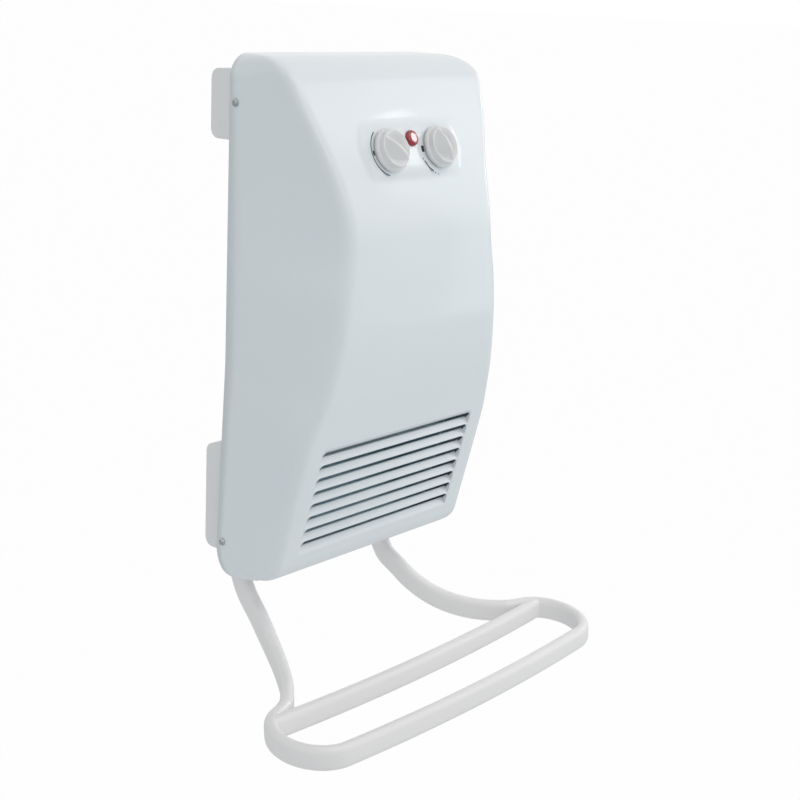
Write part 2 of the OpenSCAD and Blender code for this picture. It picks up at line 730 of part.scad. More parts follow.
module earth_stud() {
    color("#b08a4a") translate([92, back_y - 0.1, -96]) rotate([90, 0, 0]) {
        cylinder(h = 13, r = 2, $fn = 20);
        translate([0, 0, 1.5]) cylinder(h = 3.3, r = 4.2, $fn = 6);
        translate([0, 0, 5]) cylinder(h = 1, r = 4.6, $fn = 24);
    }
}

module wire(points, r) {
    for (k = [0:len(points) - 2]) {
        d = points[k + 1] - points[k];
        translate(points[k]) rotate([0, acos(d[2] / norm(d)), atan2(d[1], d[0])])
            cylinder(h = norm(d), r = r, $fn = 10);
        if (k > 0) translate(points[k]) sphere(r = r, $fn = 10);
    }
}

// A point given in the panel's own directions
function panel_point(x, up, out) =
    [x, -panel_y + up * sin(panel_lean) - out * cos(panel_lean),
     panel_z + up * cos(panel_lean) + out * sin(panel_lean)];

function selector_lug(x, d) = panel_point(x, -22.95 - d, -23.6);
function thermostat_lug(x, d) = panel_point(x, -24.95 - d, -22.6);

module wiring() {
    color("#20262e") {
        wire([[87, -38, -33.95], [87, -38, -26], [87, -34, 60],
              selector_lug(43, 9), selector_lug(43, 0)], 1.3);
        wire([[101, -38, -33.95], [101, -38, -26], [96, -44, 66],
              selector_lug(34, 14), selector_lug(34, 0)], 1.3);
        wire([selector_lug(25, 0), selector_lug(25, 7), thermostat_lug(-25, 7), thermostat_lug(-25, 0)], 1.3);
        wire([[-106.05, -60, -119], [-110, -60, -119], [-113, -60, -106], [-113, -60, 60],
              thermostat_lug(-43, 9), thermostat_lug(-43, 0)], 1.3);
        wire([[-106.05, -102, -119], [-110, -102, -119], [-113, -100, -104], [-110, -98, 50],
              thermostat_lug(-34, 12), thermostat_lug(-34, 0)], 1.3);
        wire([[115, -38, -33.95], [115, -38, -28], [116, -60, -24],
              [113, -70, -22], [109.55, -70, -22]], 1.3);
    }
}

// ---------- towel rail ----------

function unit(v) = v / norm(v);

function tangent(p, k) = unit(p[min(len(p) - 1, k + 1)] - p[max(0, k - 1)]);

function ring(c, t, w, h, d) =
    let (u = unit(w - (w * t) * t), b = cross(t, u))
    [for (k = [0:tube_n - 1]) let (a = (k + 0.5) * 360 / tube_n)
        c + u * ((sin(a) > 0 ? 1 : -1) * (h - d) / 2 + d / 2 * sin(a)) + b * (d / 2 * cos(a))];

function onto(r, t, c, n) = [for (p = r) p + t * (((c - p) * n) / (t * n))];

// Arm: straight down inside the bracket, then forwards and outwards, edgewise
arm_path = concat([[arm_x, arm_y, -199], [arm_x, arm_y, -239.7]],
    [for (k = [1:5]) [arm_x, arm_y - 75.6 * (1 - cos(k * 8.6)), -240 - 75.6 * sin(k * 8.6)]],
    [[101.3, -46.2, -301], [106.2, -63.7, -314.6], [113.6, -82.4, -325.5], [123.4, -100.6, -332.9],
     [136.2, -119, -337.6], [149.6, -133.2, -339.7], seam]);

function wide_at(p, k) = let (t = tangent(p, k), f = unit([0, t[1], t[2]]), s = min(1, max(0, (k - 6) / 5)))
    unit((1 - s) * [0, f[2], -f[1]] + s * [0, 0.08, 1]);

function mirror_x(rings) = [for (r = rings) [for (k = [len(r) - 1:-1:0]) [-r[k][0], r[k][1], r[k][2]]]];

function plan(x, y) = [x, -y, -loop_z + (loop_y - y) * loop_rise];

loop_path = concat([[163, 145], [168, 147.4], [175, 150.2]],
    [for (k = [0:13]) let (a = 75 - k * (165 - bow_a) / 13)
        [loop_half + loop_r * cos(a), loop_y - loop_r * sin(a)]],
    [for (k = [1:9]) let (a = bow_a * (1 - k / 5)) [bow_r * sin(a), bow_r * cos(a) - bow_y]]);

full_path = concat([for (p = loop_path) plan(p[0], p[1])],
    [for (k = [16:-1:0]) plan(-loop_path[k][0], loop_path[k][1])]);

loop_up = unit([0, loop_rise, 1]);
seam_n = unit(unit(full_path[1] - full_path[0]) + unit(seam - arm_path[len(arm_path) - 2]));

function loop_rings(h, d) = [for (k = [0:len(full_path) - 1])
    let (t = tangent(full_path, k), r = ring(full_path[k], t, loop_up, h, d))
    k == 0 ? onto(r, t, full_path[0], seam_n)
    : k == len(full_path) - 1 ? onto(r, t, full_path[k], [seam_n[0], -seam_n[1], -seam_n[2]])
    : r];

arm_rings = [for (k = [0:len(arm_path) - 1])
    let (t = tangent(arm_path, k), r = ring(arm_path[k], t, wide_at(arm_path, k), tube_w, tube_t))
    k == len(arm_path) - 1 ? onto(r, t, seam, seam_n) : r];

module rail_arm_right() {
    color("#f4f4f2") difference() {
        loft(arm_rings);
        arm_bolts(1, 2.55);
    }
}

module rail_arm_left() {
    color("#f4f4f2") difference() {
        loft(mirror_x(arm_rings));
        arm_bolts(-1, 2.55);
    }
}

module rail_loop() {
    color("#f4f4f2") loft(loop_rings(tube_w, tube_t));
}

// Cross bar: bowed like the front bar, its ends cut to the loop's inner face
module rail_cross_bar() {
    bar_r = 2450;
    rings = [for (k = [-6:6])
        let (a = k * 4.46 / 6, c = plan(bar_r * sin(a), bar_r * cos(a) - bar_r + 169))
        ring(c, unit([cos(a), sin(a), -sin(a) * loop_rise]), loop_up, tube_w - 0.4, tube_t)];
    color("#f4f4f2") difference() {
        intersection() {
            loft(rings);
            translate([0, 0, -loop_z - 60]) linear_extrude(120)
                polygon([for (p = full_path) [p[0], p[1]]]);
        }
        loft(loop_rings(tube_w + 6, tube_t + 0.04));
    }
}

front_cover();
rear_chassis();
wall_bracket_upper();
wall_bracket_lower();
cover_screws();
chassis_screws();
thermostat_knob();
selector_knob();
thermostat_shaft();
selector_shaft();
thermostat_body();
selector_body();
control_bracket();
control_nuts();
dial_marks();
lamp_lens();
lamp_body();
fan_impeller();
fan_shaft();
fan_bearing();
blower_housing();
motor_stator();
motor_coil();
motor_rotor();
motor_bracket();
heater_frame();
heating_rod();
thermal_cutout();
terminal_block();
cable_grommet();
earth_stud();
wiring();
rail_arm_left();
rail_arm_right();
rail_loop();
rail_cross_bar();
rail_bolts();
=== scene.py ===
"""Looks of a bathroom wall fan heater with a welded towel rail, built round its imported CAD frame."""
import bpy
import math
import numpy as np
from mathutils import Matrix, Vector


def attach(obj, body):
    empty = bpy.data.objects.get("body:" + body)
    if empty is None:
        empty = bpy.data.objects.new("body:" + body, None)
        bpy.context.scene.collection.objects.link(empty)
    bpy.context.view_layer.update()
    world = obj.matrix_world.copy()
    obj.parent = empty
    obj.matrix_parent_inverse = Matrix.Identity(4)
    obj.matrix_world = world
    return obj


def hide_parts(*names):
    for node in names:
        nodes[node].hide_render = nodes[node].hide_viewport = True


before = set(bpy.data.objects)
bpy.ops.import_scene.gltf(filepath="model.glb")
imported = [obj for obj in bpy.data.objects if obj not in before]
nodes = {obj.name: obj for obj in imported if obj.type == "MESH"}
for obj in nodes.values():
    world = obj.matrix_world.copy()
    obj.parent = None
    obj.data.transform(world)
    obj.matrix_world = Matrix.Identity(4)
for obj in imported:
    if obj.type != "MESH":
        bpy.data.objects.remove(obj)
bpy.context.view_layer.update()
MM = 0.001
TINY = 1e-6
SHARP = 40.0
MIRROR = np.array([-1, 1, 1])

# ---------------------------------------------------------------- sizes, mm and degrees
# Sizes that the part's source has too
BODY_TOP, BODY_LOW, WALL_GAP = 226.0, 247.5, 25.0
BACK_HALF, BACK_FLARE, BACK_DROP, BACK_ROUND = 130.6, 0.042, 5.0, 27.0
EDGE_SOFT, CORNER_BACK, CORNER_FRONT, CORNER_LOW = 12.0, 21.0, 15.0, 8.0
LIP_R, BROW_H, BROW_D = 18.0, 20.0, 34.0
LOUVRES, LOUVRE_Z, LOUVRE_HALF, LOUVRE_PRESS = 8, -117.0, 107.0, 5.8
PANEL_Z, PANEL_Y, PANEL_LEAN = 147.0, 127.0, 22.0
BOSS_HALF, BOSS_BULGE, BOSS_UP = 60.5, 9.5, 29.0
KNOB_X, KNOB_R, KNOB_RIM_H, GRIP_RIGHT = 34.0, 20.0, 10.1, 110.0
FIN_ARC, FIN_ARC_DROP, FIN_SIDE = 31.2, 16.4, 21.3
LAMP_R, LAMP_UP, LAMP_STEM = 7.5, 10.0, 5.8
SCREW_LEVELS, SCREW_Y, SCREW_R, SCREW_SEAT = (184.0, -219.0), -32.0, 3.6, 0.08
TUBE_W, TUBE_T = 22.3, 12.5
ARM_X, ARM_Y, ARM_BEND_R, ARM_HOLD = 98.5, -13.25, 75.6, 240.0
LOOP_HALF, LOOP_R, LOOP_BOW, LOOP_END = 171.6, 39.5, 6.5, 75.0
LOOP_Y, LOOP_Z, LOOP_RISE = 190.6, 344.6, 0.09
SEAM_X, SEAM_Y = 163.0, 145.0
BAR_R, BAR_Y, BAR_SLACK = 2450.0, 169.0, 0.4
# Height, distance of the face from the wall and half width, from the bottom of the cover to its top
STATIONS = [(-BODY_LOW, 94.05, 135), (-120, 127.2, 133), (-95, 133.7, 129), (-60, 142.8, 121),
            (-12, 148.6, 113), (25, 148.8, 108.7), (55, 147.6, 103.6), (90, 143.8, 102.3),
            (130, 131.1, 109), (180, 111.5, 125.8), (BODY_TOP, 90.5, 136)]
# Sizes that are fitted more finely here, or that only these pieces have
LOUVRE_PITCH, LOUVRE_GAP, LOUVRE_CORNER, SLAT_POWER = 12.98, 5.8, 5.5, 1.15
BOSS_FLANK, BOSS_LEDGE, BOSS_FADE, BOSS_NEAR, BOSS_GAIN = 9.0, 15.0, 17.0, 2.5, 1.12
GRIP_LEFT, FIN_SIDE_OFF, FIN_CREST = 140.0, 13.4, 1.2
DISH_DEPTH, DISH_REACH = 4.2, 7.0
LAMP_RIM_H, LAMP_DOME, LAMP_POWER = 0.75, 3.0, 9
COVER_SKIN, FOOT_SKIN, FOOT_INSET, FOOT_GAP, FOOT_LAP = 1.2, 1.0, 0.8, 1.3, 2.7
BAR_HALF_ANGLE, WELD_RISE, WELD_REACH = 4.62, 0.55, 1.5


# ---------------------------------------------------------------- small helpers
def unit(v):
    """A vector of length 1 in the same direction."""
    v = np.asarray(v, float)
    return v / np.linalg.norm(v)


def ramp(x, a, b):
    """0 below a, 1 above b, smooth between."""
    t = min(1.0, max(0.0, (x - a) / (b - a)))
    return t * t * (3 - 2 * t)


def mesh_piece(name, points, faces, mat, body="housing", angle=None):
    """A smooth piece from points in mm, riding on a body; edges over the angle stay sharp."""
    mesh = bpy.data.meshes.new(name)
    mesh.from_pydata([tuple(c * MM for c in p) for p in points], [], faces)
    mesh.validate()
    mesh.update()
    obj = bpy.data.objects.new(name, mesh)
    bpy.context.scene.collection.objects.link(obj)
    mesh.materials.append(mat)
    mesh.shade_smooth()
    if angle is not None:
        mesh.set_sharp_from_angle(angle=math.radians(angle))
    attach(obj, body)
    return obj


def finish_modifiers(obj, **steps):
    """Adds modifiers, each given as TYPE=dict of settings, in order."""
    for kind, settings in steps.items():
        mod = obj.modifiers.new(kind.lower(), kind)
        for key, value in settings.items():
            setattr(mod, key, value)


def grid_faces(rows, cols, wrap=False, flip=False):
    """Quads of a grid of rows x cols points; wrap closes each row into a ring."""
    out = []
    for i in range(rows - 1):
        for j in range(cols if wrap else cols - 1):
            k = (j + 1) % cols
            q = (i * cols + j, i * cols + k, (i + 1) * cols + k, (i + 1) * cols + j)
            out.append(q[::-1] if flip else q)
    return out


def catmull(points, steps):
    """A smooth line through the points, with steps pieces from point to point."""
    p = [np.array(q, float) for q in points]
    p = [2 * p[0] - p[1]] + p + [2 * p[-1] - p[-2]]
    line = []
    for i in range(1, len(p) - 2):
        for s in range(steps):
            t = s / steps
            line.append(0.5 * (2 * p[i] + (p[i + 1] - p[i - 1]) * t
                               + (2 * p[i - 1] - 5 * p[i] + 4 * p[i + 1] - p[i + 2]) * t ** 2
                               + (3 * p[i] - p[i - 1] - 3 * p[i + 1] + p[i + 2]) * t ** 3))
    return line + [p[-2]]


def circle(r, sides):
    """Points (x, y) of a circle, evenly spaced from the X axis."""
    angles = [2 * math.pi * k / sides for k in range(sides)]
    return [(r * math.cos(a), r * math.sin(a)) for a in angles]


def lathe(name, profile, place, mat, sides):
    """A turned piece: profile of (radius, height) pairs in mm, turned about the local Z of place."""
    points = [tuple(place @ Vector((x, y, h))) for r, h in profile for x, y in circle(r, sides)]
    return mesh_piece(name, points, grid_faces(len(profile), sides, wrap=True), mat, angle=SHARP)


def panel_matrix(x=0.0, up=0.0):
    """Frame of a spot on the control panel: X sideways, Y up the panel, Z out of it; in mm."""
    tilt = Matrix.Rotation(math.radians(90 - PANEL_LEAN), 4, "X")
    return Matrix.Translation((0, -PANEL_Y, PANEL_Z)) @ tilt @ Matrix.Translation((x, up, 0))


# ---------------------------------------------------------------- materials; lengths in metres
BUMP_DEPTH = 0.0001


class Nodes:
    """A small helper to write a node material."""

    def __init__(self, name):
        self.mat = bpy.data.materials.new(name)
        self.mat.use_nodes = True
        self.tree = self.mat.node_tree
        self.shader = self.tree.nodes["Principled BSDF"]
        self.where = self.add("ShaderNodeTexCoord").outputs["Object"]

    def add(self, kind, **inputs):
        node = self.tree.nodes.new(kind)
        for key, value in inputs.items():
            node.inputs[key.replace("_", " ")].default_value = value
        return node

    def join(self, a, b):
        self.tree.links.new(a, b)

    def noise(self, scale, detail):
        node = self.add("ShaderNodeTexNoise", Scale=scale, Detail=detail, Roughness=0.5)
        self.join(self.where, node.inputs["Vector"])
        return node.outputs["Fac"]

    def spread(self, value, low, high, out_low, out_high):
        node = self.add("ShaderNodeMapRange", From_Min=low, From_Max=high, To_Min=out_low, To_Max=out_high)
        self.join(value, node.inputs["Value"])
        return node.outputs["Result"]

    def blend(self, factor, a, b):
        node = self.tree.nodes.new("ShaderNodeMix")
        node.data_type = "RGBA"
        node.inputs["A"].default_value = (*a, 1)
        node.inputs["B"].default_value = (*b, 1)
        self.join(factor, node.inputs["Factor"])
        return node.outputs["Result"]

    def bump(self, height, strength):
        node = self.add("ShaderNodeBump", Strength=strength, Distance=BUMP_DEPTH)
        self.join(height, node.inputs["Height"])
        return node.outputs["Normal"]

    def settle(self, **values):
        for key, value in values.items():
            self.shader.inputs[key.replace("_", " ")].default_value = value
        return self.mat


def painted(name, base, shade, rough=(0.28, 0.33), peel=0.05, coat=0.35, grain=900.0):
    """Sprayed enamel: a faint drift of tone and fine orange peel under a clear gloss."""
    n = Nodes(name)
    drift = n.spread(n.noise(9.0, 3.0), 0.35, 0.65, 0.0, 1.0)
    n.join(n.blend(drift, base, shade), n.shader.inputs["Base Color"])
    n.join(n.spread(n.noise(14.0, 1.0), 0.2, 0.8, *rough), n.shader.inputs["Roughness"])
    n.join(n.bump(n.noise(grain, 1.0), peel), n.shader.inputs["Normal"])
    return n.settle(Coat_Weight=coat, Coat_Roughness=0.06, Specular_IOR_Level=0.5)


def plastic(name, base, shade, rough=(0.3, 0.42), grain=1500.0, coat=0.1):
    """Moulded plastic: fine spark-eroded grain, a faint flow drift."""
    n = Nodes(name)
    drift = n.spread(n.noise(30.0, 2.0), 0.35, 0.65, 0.0, 1.0)
    n.join(n.blend(drift, base, shade), n.shader.inputs["Base Color"])
    n.join(n.spread(n.noise(200.0, 3.0), 0.3, 0.7, *rough), n.shader.inputs["Roughness"])
    n.join(n.bump(n.noise(grain, 3.0), 0.12), n.shader.inputs["Normal"])
    return n.settle(Coat_Weight=coat, Coat_Roughness=0.2)


def metal(name, base, shade, rough=(0.28, 0.48), streak=(1.0, 1.0, 30.0)):
    """Bare or plated metal: stretched rolling marks, blotches of duller plating."""
    n = Nodes(name)
    stretch = n.add("ShaderNodeMapping")
    stretch.inputs["Scale"].default_value = streak
    n.join(n.where, stretch.inputs["Vector"])
    lines = n.add("ShaderNodeTexNoise", Scale=400.0, Detail=2.0)
    n.join(stretch.outputs["Vector"], lines.inputs["Vector"])
    blotch = n.spread(n.noise(40.0, 4.0), 0.35, 0.65, 0.0, 1.0)
    n.join(n.blend(blotch, base, shade), n.shader.inputs["Base Color"])
    n.join(n.spread(lines.outputs["Fac"], 0.3, 0.7, *rough), n.shader.inputs["Roughness"])
    n.join(n.bump(lines.outputs["Fac"], 0.08), n.shader.inputs["Normal"])
    return n.settle(Metallic=1.0)


cover_paint = painted("cover_enamel", (0.815, 0.855, 0.882), (0.80, 0.845, 0.875))
# Inner side of the cover: a dark teal that paints the shade seen in the louvre slots, not the sheet's own
# colour
cover_inner_shade = painted("cover_inner_painted_shade", (0.38, 0.58, 0.66), (0.34, 0.53, 0.61),
                       rough=(0.5, 0.6), peel=0.1, coat=0.0, grain=700.0)
rail_paint = painted("rail_enamel", (0.90, 0.875, 0.87), (0.885, 0.86, 0.855),
                     rough=(0.3, 0.4), peel=0.03, coat=0.25, grain=300.0)
bracket_paint = painted("bracket_paint", (0.84, 0.835, 0.83), (0.82, 0.815, 0.81),
                        rough=(0.4, 0.5), peel=0.1, coat=0.1, grain=800.0)
knob_white = plastic("knob_white", (0.80, 0.795, 0.795), (0.77, 0.77, 0.77))
print_ink = plastic("mark_print", (0.03, 0.055, 0.085), (0.045, 0.07, 0.1), (0.45, 0.6), 3000.0, 0.0)
ink_black = plastic("print_black", (0.02, 0.018, 0.016), (0.035, 0.03, 0.028), (0.5, 0.65), 3000.0, 0.0)
chassis_steel = metal("chassis_steel", (0.60, 0.615, 0.63), (0.52, 0.535, 0.55))
screw_steel = metal("screw_steel", (0.58, 0.60, 0.62), (0.42, 0.44, 0.46), (0.22, 0.4))
shaft_steel = metal("shaft_steel", (0.52, 0.53, 0.55), (0.44, 0.45, 0.47), (0.2, 0.35))
# Blower housing: darkened and tinted teal as painted shade where it shows through the louvres
housing_steel = metal("housing_steel", (0.34, 0.48, 0.54), (0.28, 0.40, 0.46), (0.4, 0.6))
lamination = metal("lamination_steel", (0.36, 0.37, 0.39), (0.28, 0.29, 0.31), (0.4, 0.6), (60.0, 1.0, 1.0))
bronze = metal("bearing_bronze", (0.60, 0.42, 0.20), (0.50, 0.34, 0.16))
rod_sheath = metal("rod_sheath", (0.22, 0.16, 0.12), (0.14, 0.11, 0.10), (0.45, 0.65))
dark_plastic = plastic("switch_plastic", (0.045, 0.05, 0.06), (0.06, 0.065, 0.075))
impeller_plastic = plastic("impeller_plastic", (0.11, 0.12, 0.135), (0.09, 0.10, 0.115), (0.45, 0.6))
coil_tape = plastic("coil_tape", (0.38, 0.13, 0.05), (0.30, 0.10, 0.04), (0.35, 0.5), 600.0)
# Heater frame: mica darkened to a blue-teal as painted shade behind the louvres
frame_painted_shade = plastic("mica_board", (0.26, 0.35, 0.38), (0.20, 0.28, 0.31), (0.5, 0.7), 500.0)
ceramic = plastic("cutout_ceramic", (0.78, 0.74, 0.66), (0.70, 0.66, 0.58), (0.35, 0.5))
terminal_white = plastic("terminal_plastic", (0.72, 0.72, 0.68), (0.66, 0.66, 0.62), (0.4, 0.55))
lamp_holder_white = plastic("lamp_holder", (0.62, 0.62, 0.58), (0.56, 0.56, 0.52), (0.4, 0.55))
grommet_rubber = plastic("grommet_rubber", (0.035, 0.037, 0.042), (0.05, 0.052, 0.058), (0.6, 0.75))
wire_sheath = plastic("wire_sheath", (0.03, 0.035, 0.05), (0.04, 0.045, 0.06), (0.45, 0.6))


def red_lens():
    """Red lens with a fine pattern of cells in its tone, lit a little from behind."""
    n = Nodes("lamp_red")
    cells = n.add("ShaderNodeTexVoronoi", Scale=900.0)
    n.join(n.where, cells.inputs["Vector"])
    tone = n.spread(cells.outputs["Distance"], 0.0, 0.6, 0.0, 1.0)
    n.join(n.blend(tone, (0.42, 0.0, 0.012), (0.26, 0.0, 0.008)), n.shader.inputs["Base Color"])
    return n.settle(Roughness=0.06, Specular_IOR_Level=1.0,
                    Emission_Color=(0.7, 0.0, 0.02, 1), Emission_Strength=0.03)


lamp_red = red_lens()

FINISH = {
    "rear_chassis": chassis_steel, "wall_bracket_upper": bracket_paint, "wall_bracket_lower": bracket_paint,
    "chassis_screws": screw_steel, "thermostat_shaft": shaft_steel, "selector_shaft": shaft_steel,
    "thermostat_body": dark_plastic, "selector_body": dark_plastic, "control_bracket": chassis_steel,
    "control_nuts": screw_steel, "lamp_body": lamp_holder_white, "fan_impeller": impeller_plastic,
    "fan_shaft": shaft_steel, "fan_bearing": bronze, "blower_housing": housing_steel,
    "motor_stator": lamination, "motor_coil": coil_tape, "motor_rotor": shaft_steel,
    "motor_bracket": chassis_steel, "heater_frame": frame_painted_shade, "heating_rod": rod_sheath,
    "thermal_cutout": ceramic, "terminal_block": terminal_white, "cable_grommet": grommet_rubber,
    "earth_stud": bronze, "wiring": wire_sheath, "rail_bolts": screw_steel,
}
for node_name, finish in FINISH.items():
    for slot in nodes[node_name].material_slots:
        slot.material = finish


# ---------------------------------------------------------------- the pressed cover
def station_slope(k, c):
    """Slope of column c at station k, from the stations on both sides of it."""
    a, b = STATIONS[max(0, k - 1)], STATIONS[min(len(STATIONS) - 1, k + 1)]
    return (b[c] - a[c]) / (b[0] - a[0])


def smooth_at(z, c):
    """Smooth curve through the stations: c 1 is the face's distance from the wall, c 2 its half width."""
    k = 0
    while k < len(STATIONS) - 2 and z >= STATIONS[k + 1][0]:
        k += 1
    p, q = STATIONS[k], STATIONS[k + 1]
    w = q[0] - p[0]
    t = (z - p[0]) / w
    return ((2 * t ** 3 - 3 * t ** 2 + 1) * p[c] + (t ** 3 - 2 * t ** 2 + t) * station_slope(k, c) * w
            + (3 * t ** 2 - 2 * t ** 3) * q[c] + (t ** 3 - t ** 2) * station_slope(k + 1, c) * w)


def quarter(u):
    """Fall of a quarter circle of radius 1 at a distance u from its top."""
    return 1 - math.sqrt(max(0.0, 1 - min(1.0, u) ** 2))


def face_at(z):
    """Distance of the face from the wall, with the brow at the top and the lip at the bottom."""
    return (smooth_at(z, 1) - BROW_D * quarter(max(0, z - BODY_TOP + BROW_H) / BROW_H)
            - LIP_R * quarter(max(0, -BODY_LOW + LIP_R - z) / LIP_R))


def pinch(z, top):
    """How far the rounded corners at the top and the bottom draw the sides in."""
    return (top * quarter(max(0, z - BODY_TOP + top) / top)
            + CORNER_LOW * quarter(max(0, -BODY_LOW + CORNER_LOW - z) / CORNER_LOW))


def back_w(z):
    """Half width at the back edge."""
    return BACK_HALF + BACK_FLARE * max(0, -50 - z) - pinch(z, CORNER_BACK)


def front_w(z):
    """Half width at the face."""
    return smooth_at(z, 2) - pinch(z, CORNER_FRONT)


def back_at(z):
    """Distance of the cover's back edge from the wall: rounded forwards at the bottom."""
    return WALL_GAP + BACK_ROUND * quarter(max(0, -BODY_LOW + BACK_ROUND - z) / BACK_ROUND)


def dip(z, y):
    """Fall of the underside towards the back."""
    share = (face_at(z) + y) / (face_at(z) - back_at(z))
    return BACK_DROP * share * min(1.0, max(0.0, 70 - z - BODY_LOW) / 70)


def wall_x(y, z):
    """Half width of the side wall at a depth and a height."""
    r = z + dip(z + dip(z, y), y)
    w = back_w(r)
    return w - (w - front_w(r)) * (-y - back_at(r)) / (face_at(r) - back_at(r))


def panel_face(z):
    """Distance of the control panel's plane from the wall at a height."""
    return PANEL_Y - (z - PANEL_Z) * math.tan(math.radians(PANEL_LEAN))


def boss_share(x, z):
    """How far a point of the face stands on the raised control panel: 0 outside, 1 on its flat."""
    up = (z - PANEL_Z) / math.cos(math.radians(PANEL_LEAN))
    half = BOSS_HALF + BOSS_BULGE * math.cos(math.pi / 2 * min(1.0, abs(up) / BOSS_UP))
    side = (half - abs(x)) / BOSS_FLANK
    end = (BOSS_UP - abs(up)) / (BOSS_FADE if up > 0 else BOSS_LEDGE)
    if side <= 0 or end <= 0:
        return 0.0
    side, end = min(side, BOSS_NEAR), min(end, BOSS_NEAR)
    near = side * end / math.hypot(side, end) * BOSS_GAIN
    return ramp(near, 0.0, 1.0)


def louvre_level(k):
    """Height of the line above slat k."""
    return LOUVRE_Z - k * LOUVRE_PITCH


# Rows and columns of the cover's mesh: closer ones over the raised panel and at the ends of the slots
ROUND_ROWS, SLAT_ROWS, FACE_ROWS, PANEL_ROWS, UPPER_ROWS, BROW_ROWS = 24, 8, 61, 55, 8, 22
PANEL_LOW, PANEL_HIGH = 112, 182
SLOT_EVEN, MARGIN_COLS, EDGE_COLS = 44, 5, 10
END_STEPS = (7.0, 6.0, 5.0, 4.2, 3.5, 2.8, 2.2, 1.6, 1.1, 0.7, 0.4, 0.25)
SIDE_SHARES = (0.15, 0.35, 0.6, 0.85, 1.0)
SLOT_COL = SLOT_EVEN + len(END_STEPS)
SLOTS_TOP, SLOTS_LOW = louvre_level(0), louvre_level(LOUVRES)


def cover_heights():
    """Heights of the rows; those of the slot lines and of each slat are exact."""
    brow = BODY_TOP - BROW_H
    turns = [math.pi / 2 * k / ROUND_ROWS for k in range(ROUND_ROWS + 1)]
    rows = [-BODY_LOW + BACK_ROUND * (1 - math.cos(a)) for a in turns]
    rows = [z for z in rows if z < SLOTS_LOW - 0.6]
    slats = LOUVRES * SLAT_ROWS
    rows += [SLOTS_LOW + (SLOTS_TOP - SLOTS_LOW) * k / slats for k in range(slats + 1)]
    for low, high, count in ((SLOTS_TOP, PANEL_LOW, FACE_ROWS), (PANEL_LOW, PANEL_HIGH, PANEL_ROWS),
                             (PANEL_HIGH, brow, UPPER_ROWS)):
        rows += list(np.linspace(low, high, count + 1)[1:])
    return rows + [brow + BROW_H * math.sin(math.pi / 2 * k / BROW_ROWS) for k in range(1, BROW_ROWS + 1)]


def half_line(z):
    """Half a level slice of the cover, from the middle of the face round to the back edge, as (x, y)."""
    back, face = back_at(z), face_at(z)
    corner, end = np.array([front_w(z), -face]), np.array([back_w(z), -back])
    soft = min(EDGE_SOFT, 0.8 * (face - back))
    p, q = corner + unit(end - corner) * soft, corner - np.array([soft, 0])
    inner = LOUVRE_HALF if z < -100 else min(LOUVRE_HALF, q[0] - 6)
    xs = [(inner - END_STEPS[0]) * k / SLOT_EVEN for k in range(SLOT_EVEN)]
    xs += [inner - step for step in END_STEPS]
    xs += [inner + (q[0] - inner) * k / MARGIN_COLS for k in range(MARGIN_COLS)]
    line = [(x, -face) for x in xs]
    for t in np.linspace(0, 1, EDGE_COLS + 1):
        line.append(tuple((1 - t) ** 2 * q + 2 * t * (1 - t) * corner + t * t * p))
    return line + [tuple(p + (end - p) * t) for t in SIDE_SHARES]


def slat_point(x, z, pressed):
    """Place (y, z) of a point among the louvres: on the line above a slat, or on the pressed slat."""
    k = min(LOUVRES - 1, int((SLOTS_TOP - z) / LOUVRE_PITCH + TINY))
    line, following = louvre_level(k), louvre_level(k + 1)
    down = (line - z) / LOUVRE_PITCH
    drop = LOUVRE_CORNER * quarter(max(0, LOUVRE_CORNER - LOUVRE_HALF + abs(x)) / LOUVRE_CORNER)
    if not pressed and down <= TINY:
        return -face_at(line - drop), line - drop
    edge = line - LOUVRE_GAP
    level = edge + down * (following - (drop if k < LOUVRES - 1 else 0) - edge)
    slope = min(1.0, (edge - level) / (LOUVRE_PITCH - LOUVRE_GAP))
    return -face_at(level) + LOUVRE_PRESS * (1 - slope) ** SLAT_POWER, level


def cover_row(z, pressed, points):
    """Adds a row of points, left back edge to right; gives their numbers and the middle's place in them."""
    half = half_line(z)
    full = [(-x, y) for x, y in half[:0:-1]] + half
    first, mid = len(points), len(half) - 1
    for j, (x, y) in enumerate(full):
        level = z
        if abs(j - mid) < SLOT_COL and SLOTS_LOW < z <= SLOTS_TOP + TINY:
            y, level = slat_point(x, z, pressed)
        elif abs(j - mid) <= SLOT_COL + MARGIN_COLS - 1:
            y = -(face_at(z) + (panel_face(z) - face_at(z)) * boss_share(x, z))
        points.append((x, y, level - dip(z, y) if y > -face_at(z) + 8 else level))
    return list(range(first, len(points))), mid


def on_slot_line(z):
    """Whether a row lies on the line above a slat, where the sheet is sheared."""
    k = (SLOTS_TOP - z) / LOUVRE_PITCH
    return abs(k - round(k)) < TINY and SLOTS_LOW + 1 < z <= SLOTS_TOP + TINY


def build_cover():
    """The cover: level rows, closed above and below, open behind; a slat is pressed in below each line."""
    points, faces, rows = [], [], []
    for z in cover_heights():
        above, mid = cover_row(z, False, points)
        below = above
        if on_slot_line(z):
            pressed, mid = cover_row(z, True, points)
            below = [b if abs(j - mid) < SLOT_COL else a for j, (a, b) in enumerate(zip(above, pressed))]
        rows.append((above, below))
    ends = (mid - SLOT_COL, mid + SLOT_COL - 1)
    for (a, _), (b_above, b) in zip(rows, rows[1:]):
        sheared = b is not b_above
        for j in range(len(a) - 1):
            if not (sheared and j in ends):
                faces.append((a[j], a[j + 1], b[j + 1], b[j]))
    faces += [tuple(rows[0][0][::-1]), tuple(rows[-1][0])]
    cover = mesh_piece("cover_shell", points, faces, cover_paint, angle=48)
    # The sheet's inner side takes the dark teal painted shade of the louvre slots
    cover.data.materials.append(cover_inner_shade)
    finish_modifiers(cover, SOLIDIFY={"thickness": COVER_SKIN * MM, "offset": -1.0, "use_even_offset": False,
                                      "material_offset": 1})
    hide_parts("front_cover")


build_cover()


